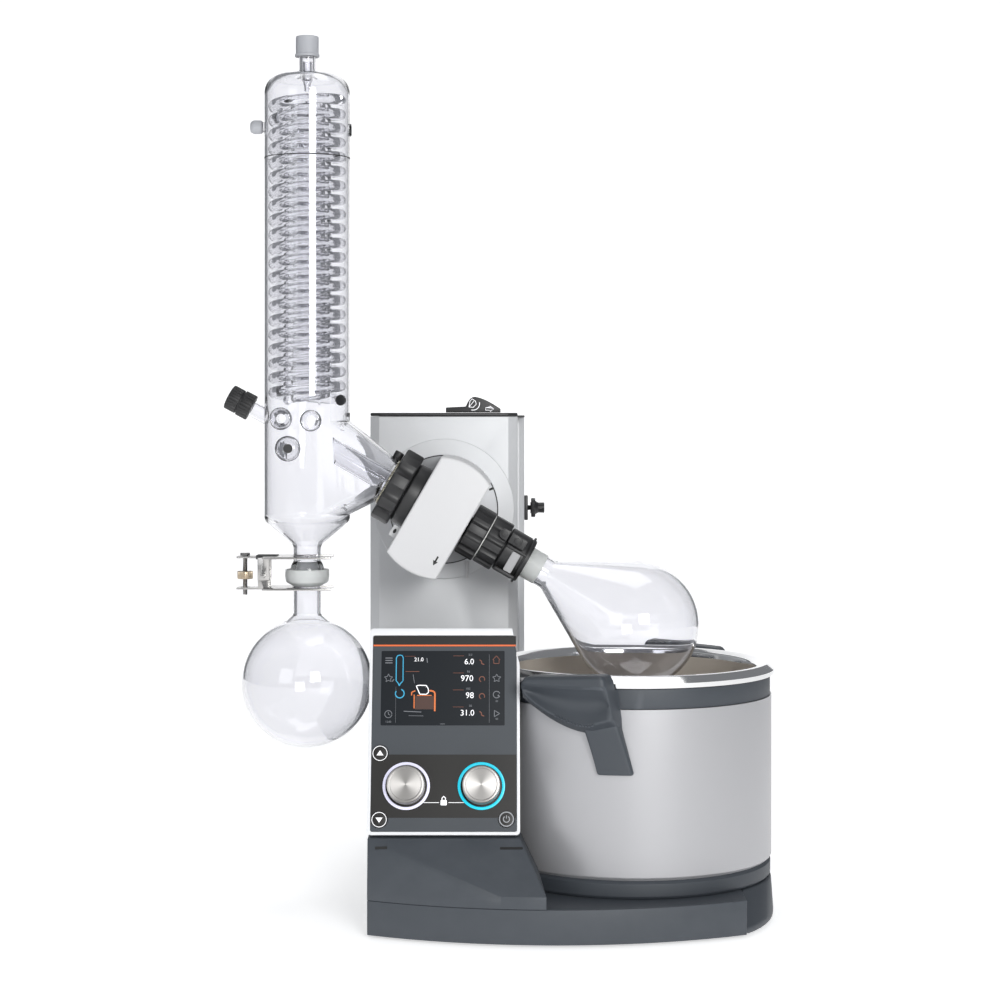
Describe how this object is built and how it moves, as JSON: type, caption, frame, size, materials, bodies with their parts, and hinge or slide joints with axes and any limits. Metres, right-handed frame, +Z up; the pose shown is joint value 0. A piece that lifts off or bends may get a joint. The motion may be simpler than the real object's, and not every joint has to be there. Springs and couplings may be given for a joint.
{
  "type": "rotary evaporator",
  "caption": "Bench rotary evaporator: lift tower, tilting drive head, rotating pear flask in a heating bath, upright coil condenser, receiving flask and touch console.",
  "frame": {"origin": "on the bench below the middle of the whole machine's box", "axes": "+Z up, +X from the receiving flask towards the bath, +Y from the front to the back"},
  "size_m": [0.5671, 0.5322, 0.8955],
  "materials": {
    "slate_plastic": "fine-textured moulded plastic",
    "silver_paint": "fine metallic powder coat",
    "pale_paint": "smooth pale satin",
    "black_plastic": "satin moulded plastic",
    "grey_plastic": "satin moulded plastic",
    "clear_glass": "clear borosilicate glass",
    "steel": "brushed stainless",
    "aluminium": "turned, satin",
    "brass": "turned and knurled",
    "rubber": "matt",
    "panel_dark": "dark glossy touch panel",
    "cyan_light": "lit translucent ring",
    "board_green": "solder resist",
    "fluoropolymer": "white seal"
  },
  "bodies": {
    "base": {"base_plate": "slate_plastic", "foot_front_left": "rubber", "foot_front_right": "rubber", "foot_rear_left": "rubber", "foot_rear_right": "rubber", "base_apron": "slate_plastic", "console_cover": "slate_plastic", "console_housing": "slate_plastic", "panel_frame": "pale_paint", "panel_glass": "panel_dark", "light_ring_left": "pale_paint", "light_ring_right": "cyan_light", "circuit_board": "board_green", "mast": "silver_paint", "guide_rod_left": "steel", "guide_rod_right": "steel", "lift_motor": "black_plastic", "lead_screw": "steel", "power_inlet": "black_plastic"},
    "stop_block": {"stop_block": "black_plastic"},
    "stop_knob": {"stop_knob": "black_plastic"},
    "carriage": {"carriage_cover": "silver_paint", "carriage_cap": "black_plastic", "lift_block": "aluminium", "scale_plate": "silver_paint"},
    "tilt_lock": {"tilt_lock_slider": "black_plastic"},
    "head": {"tilt_disc": "aluminium", "drive_head": "pale_paint", "drive_motor": "black_plastic", "seal_collar": "black_plastic", "vacuum_seal": "fluoropolymer", "rotor_bearing": "steel", "condenser_jacket": "clear_glass", "outer_coil": "clear_glass", "inner_coil": "clear_glass", "feed_cap": "grey_plastic", "vacuum_cap": "black_plastic", "receiving_flask": "clear_glass", "clamp_upper": "steel", "clamp_bolt": "steel"},
    "union_nut": {"union_nut": "black_plastic"},
    "rotor": {"vapour_tube": "clear_glass", "drive_hub": "steel", "lock_nut": "black_plastic", "clip_body": "black_plastic", "evaporating_flask": "clear_glass"},
    "ejector": {"ejector_ring": "black_plastic"},
    "latch": {"clip_latch": "grey_plastic"},
    "clamp_jaw": {"clamp_lower": "steel"},
    "clamp_nut": {"clamp_nut": "brass"},
    "knob_left": {"knob_left": "aluminium"},
    "knob_right": {"knob_right": "aluminium"},
    "button_up": {"button_up": "grey_plastic"},
    "button_down": {"button_down": "grey_plastic"},
    "button_power": {"button_power": "grey_plastic"},
    "bath": {"bath_base": "slate_plastic", "bath_skin": "silver_paint", "bath_band": "slate_plastic", "bath_pot": "steel", "bath_heater": "aluminium"}
  },
  "joints": [
    {"name": "lift", "type": "slide", "parent": "base", "child": "carriage", "axis": [0, 0, 1], "range_m": [0, 0.155]},
    {"name": "stop_height", "type": "slide", "parent": "base", "child": "stop_block", "axis": [0, 0, 1], "range_m": [-0.06, 0.05]},
    {"name": "stop_knob_turn", "type": "hinge", "parent": "stop_block", "child": "stop_knob", "pos_m": [0.02961, 0.17685, 0.398], "axis": [1, 0, 0], "continuous": true},
    {"name": "tilt_lock_slide", "type": "slide", "parent": "carriage", "child": "tilt_lock", "axis": [1, 0, 0], "range_m": [0, 0.01]},
    {"name": "head_tilt", "type": "hinge", "parent": "carriage", "child": "head", "pos_m": [-0.05799, -0.08515, 0.404], "axis": [0, 1, 0], "range_deg": [0, 14]},
    {"name": "union_nut_turn", "type": "hinge", "parent": "head", "child": "union_nut", "pos_m": [-0.05799, -0.08515, 0.404], "axis": [0.866, 0, -0.5], "range_deg": [0, 180]},
    {"name": "flask_rotation", "type": "hinge", "parent": "head", "child": "rotor", "pos_m": [-0.05799, -0.08515, 0.404], "axis": [0.866, 0, -0.5], "continuous": true},
    {"name": "ejector_turn", "type": "hinge", "parent": "rotor", "child": "ejector", "pos_m": [-0.05799, -0.08515, 0.404], "axis": [0.866, 0, -0.5], "range_deg": [0, 60]},
    {"name": "clip_latch_flip", "type": "hinge", "parent": "rotor", "child": "latch", "pos_m": [0.01173, -0.11365, 0.37876], "axis": [-0.5, 0, -0.866], "range_deg": [0, 40]},
    {"name": "clamp_open", "type": "hinge", "parent": "head", "child": "clamp_jaw", "pos_m": [-0.24059, -0.08515, 0.34], "axis": [0, 1, 0], "range_deg": [0, 8]},
    {"name": "clamp_nut_turn", "type": "hinge", "parent": "head", "child": "clamp_nut", "pos_m": [-0.26059, -0.08515, 0], "axis": [0, 0, 1], "continuous": true},
    {"name": "knob_left_turn", "type": "hinge", "parent": "base", "child": "knob_left", "pos_m": [-0.08944, -0.20559, 0.14329], "axis": [0, -0.9636, 0.2672], "continuous": true},
    {"name": "knob_right_turn", "type": "hinge", "parent": "base", "child": "knob_right", "pos_m": [-0.01624, -0.20559, 0.14329], "axis": [0, -0.9636, 0.2672], "continuous": true},
    {"name": "button_up_press", "type": "slide", "parent": "base", "child": "button_up", "axis": [0, 0.9636, -0.2672], "range_m": [0, 0.0008], "stiffness_N_per_m": 600},
    {"name": "button_down_press", "type": "slide", "parent": "base", "child": "button_down", "axis": [0, 0.9636, -0.2672], "range_m": [0, 0.0008], "stiffness_N_per_m": 600},
    {"name": "button_power_press", "type": "slide", "parent": "base", "child": "button_power", "axis": [0, 0.9636, -0.2672], "range_m": [0, 0.0008], "stiffness_N_per_m": 600},
    {"name": "bath_slide", "type": "slide", "parent": "base", "child": "bath", "axis": [1, 0, 0], "range_m": [0, 0.06]}
  ]
}
